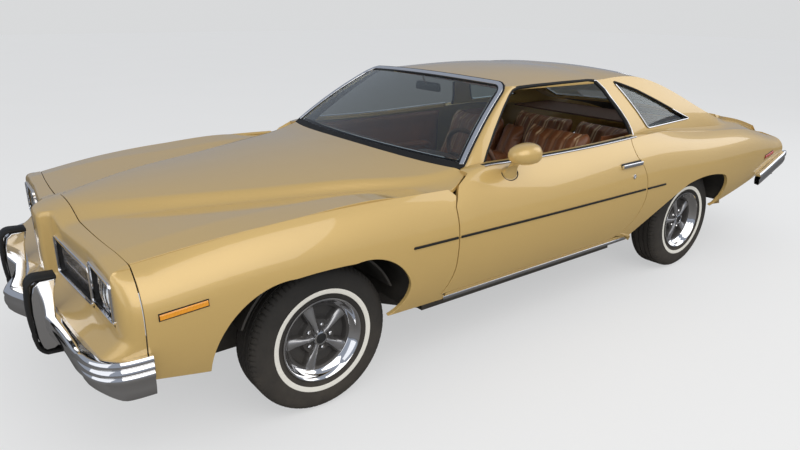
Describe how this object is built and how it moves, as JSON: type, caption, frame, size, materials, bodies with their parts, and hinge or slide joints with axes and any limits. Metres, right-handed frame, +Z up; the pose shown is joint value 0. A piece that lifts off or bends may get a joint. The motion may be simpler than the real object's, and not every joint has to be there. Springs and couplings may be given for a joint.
{
  "type": "two-door muscle car",
  "caption": "Full-size two-door muscle car with opening doors, hood and trunk lid, steered front wheels and a furnished cabin; it rolls on four wheels.",
  "frame": {"origin": "on the ground at the centre of the car's box", "axes": "+X forward, +Y to the driver's side (left), +Z up"},
  "size_m": [5.268, 2.0292, 1.362],
  "materials": {
    "tan_paint": "warm gold-tan gloss enamel",
    "chrome_trim": "bright chrome plate",
    "clear_glass": "clear fluted lens",
    "red_lens": "moulded red lens",
    "tinted_glass": "lightly tinted safety glass",
    "black_paint": "satin black underbody paint",
    "aged_steel": "heat-stained steel",
    "engine_iron": "painted cast iron",
    "cast_alloy": "raw casting",
    "brown_plastic": "moulded brown plastic",
    "saddle_vinyl": "pleated saddle-brown vinyl",
    "brake_iron": "bare cast iron",
    "wheel_steel": "silver spokes with a polished rim",
    "tyre_rubber": "black rubber with a thin white band"
  },
  "bodies": {
    "body": {"body_shell": "tan_paint", "fenders": "tan_paint", "nose_panel": "tan_paint", "grilles": "chrome_trim", "headlamp_bezels": "chrome_trim", "headlamps": "clear_glass", "tail_panel": "tan_paint", "tail_lamps": "red_lens", "front_bumper": "chrome_trim", "bumper_guards": "chrome_trim", "rear_bumper": "chrome_trim", "windscreen": "tinted_glass", "rear_window": "tinted_glass", "quarter_windows": "tinted_glass", "firewall": "black_paint", "floor_pan": "black_paint", "trunk_floor": "black_paint", "rear_wheelhouses": "black_paint", "front_wheelhouses": "black_paint", "frame": "black_paint", "rear_rails": "black_paint", "front_arms": "black_paint", "rear_axle": "black_paint", "rear_arms": "black_paint", "rear_springs": "black_paint", "engine": "engine_iron", "gearbox": "cast_alloy", "driveshaft": "black_paint", "radiator": "black_paint", "exhaust": "aged_steel", "fuel_tank": "black_paint", "dashboard": "brown_plastic", "steering_column": "brown_plastic", "seat_frame": "black_paint", "front_seat": "saddle_vinyl", "rear_seat": "saddle_vinyl", "parcel_shelf": "brown_plastic"},
    "steering_wheel": {"steering_wheel": "brown_plastic"},
    "hood": {"hood": "tan_paint"},
    "trunk_lid": {"trunk_lid": "tan_paint"},
    "door_left": {"door_left": "tan_paint", "door_fittings_left": "tan_paint"},
    "door_right": {"door_right": "tan_paint", "door_fittings_right": "tan_paint"},
    "knuckle_left": {"knuckle_left": "brake_iron"},
    "knuckle_right": {"knuckle_right": "brake_iron"},
    "wheel_front_left": {"wheel_front_left": "wheel_steel", "tyre_front_left": "tyre_rubber"},
    "wheel_front_right": {"wheel_front_right": "wheel_steel", "tyre_front_right": "tyre_rubber"},
    "wheel_rear_left": {"wheel_rear_left": "wheel_steel", "tyre_rear_left": "tyre_rubber"},
    "wheel_rear_right": {"wheel_rear_right": "wheel_steel", "tyre_rear_right": "tyre_rubber"}
  },
  "joints": [
    {"name": "steering_left", "type": "hinge", "parent": "body", "child": "knuckle_left", "pos_m": [1.519, 0.686, 0.335], "axis": [0, 0, 1], "range_deg": [-33, 33]},
    {"name": "steering_right", "type": "hinge", "parent": "body", "child": "knuckle_right", "pos_m": [1.519, -0.686, 0.335], "axis": [0, 0, 1], "range_deg": [-33, 33]},
    {"name": "steering_wheel_turn", "type": "hinge", "parent": "body", "child": "steering_wheel", "pos_m": [0.205, 0.372, 0.868], "axis": [-0.9135, 0, 0.4067], "range_deg": [-470, 470]},
    {"name": "spin_front_left", "type": "hinge", "parent": "knuckle_left", "child": "wheel_front_left", "pos_m": [1.519, 0.781, 0.335], "axis": [0, 1, 0], "continuous": true},
    {"name": "spin_front_right", "type": "hinge", "parent": "knuckle_right", "child": "wheel_front_right", "pos_m": [1.519, -0.781, 0.335], "axis": [0, 1, 0], "continuous": true},
    {"name": "spin_rear_left", "type": "hinge", "parent": "body", "child": "wheel_rear_left", "pos_m": [-1.326, 0.771, 0.335], "axis": [0, 1, 0], "continuous": true},
    {"name": "spin_rear_right", "type": "hinge", "parent": "body", "child": "wheel_rear_right", "pos_m": [-1.326, -0.771, 0.335], "axis": [0, 1, 0], "continuous": true},
    {"name": "door_left_hinge", "type": "hinge", "parent": "body", "child": "door_left", "pos_m": [0.778, 0.965, 0.65], "axis": [0, 0, -1], "range_deg": [0, 65]},
    {"name": "door_right_hinge", "type": "hinge", "parent": "body", "child": "door_right", "pos_m": [0.778, -0.965, 0.65], "axis": [0, 0, 1], "range_deg": [0, 65]},
    {"name": "hood_hinge", "type": "hinge", "parent": "body", "child": "hood", "pos_m": [0.69, 0, 0.99], "axis": [0, -1, 0], "range_deg": [0, 50]},
    {"name": "trunk_hinge", "type": "hinge", "parent": "body", "child": "trunk_lid", "pos_m": [-1.79, 0, 0.992], "axis": [0, 1, 0], "range_deg": [0, 70]}
  ],
  "couplings": [
    {"joint": "steering_right", "follows": "steering_left", "ratio": 1},
    {"joint": "steering_wheel_turn", "follows": "steering_left", "ratio": 14}
  ]
}
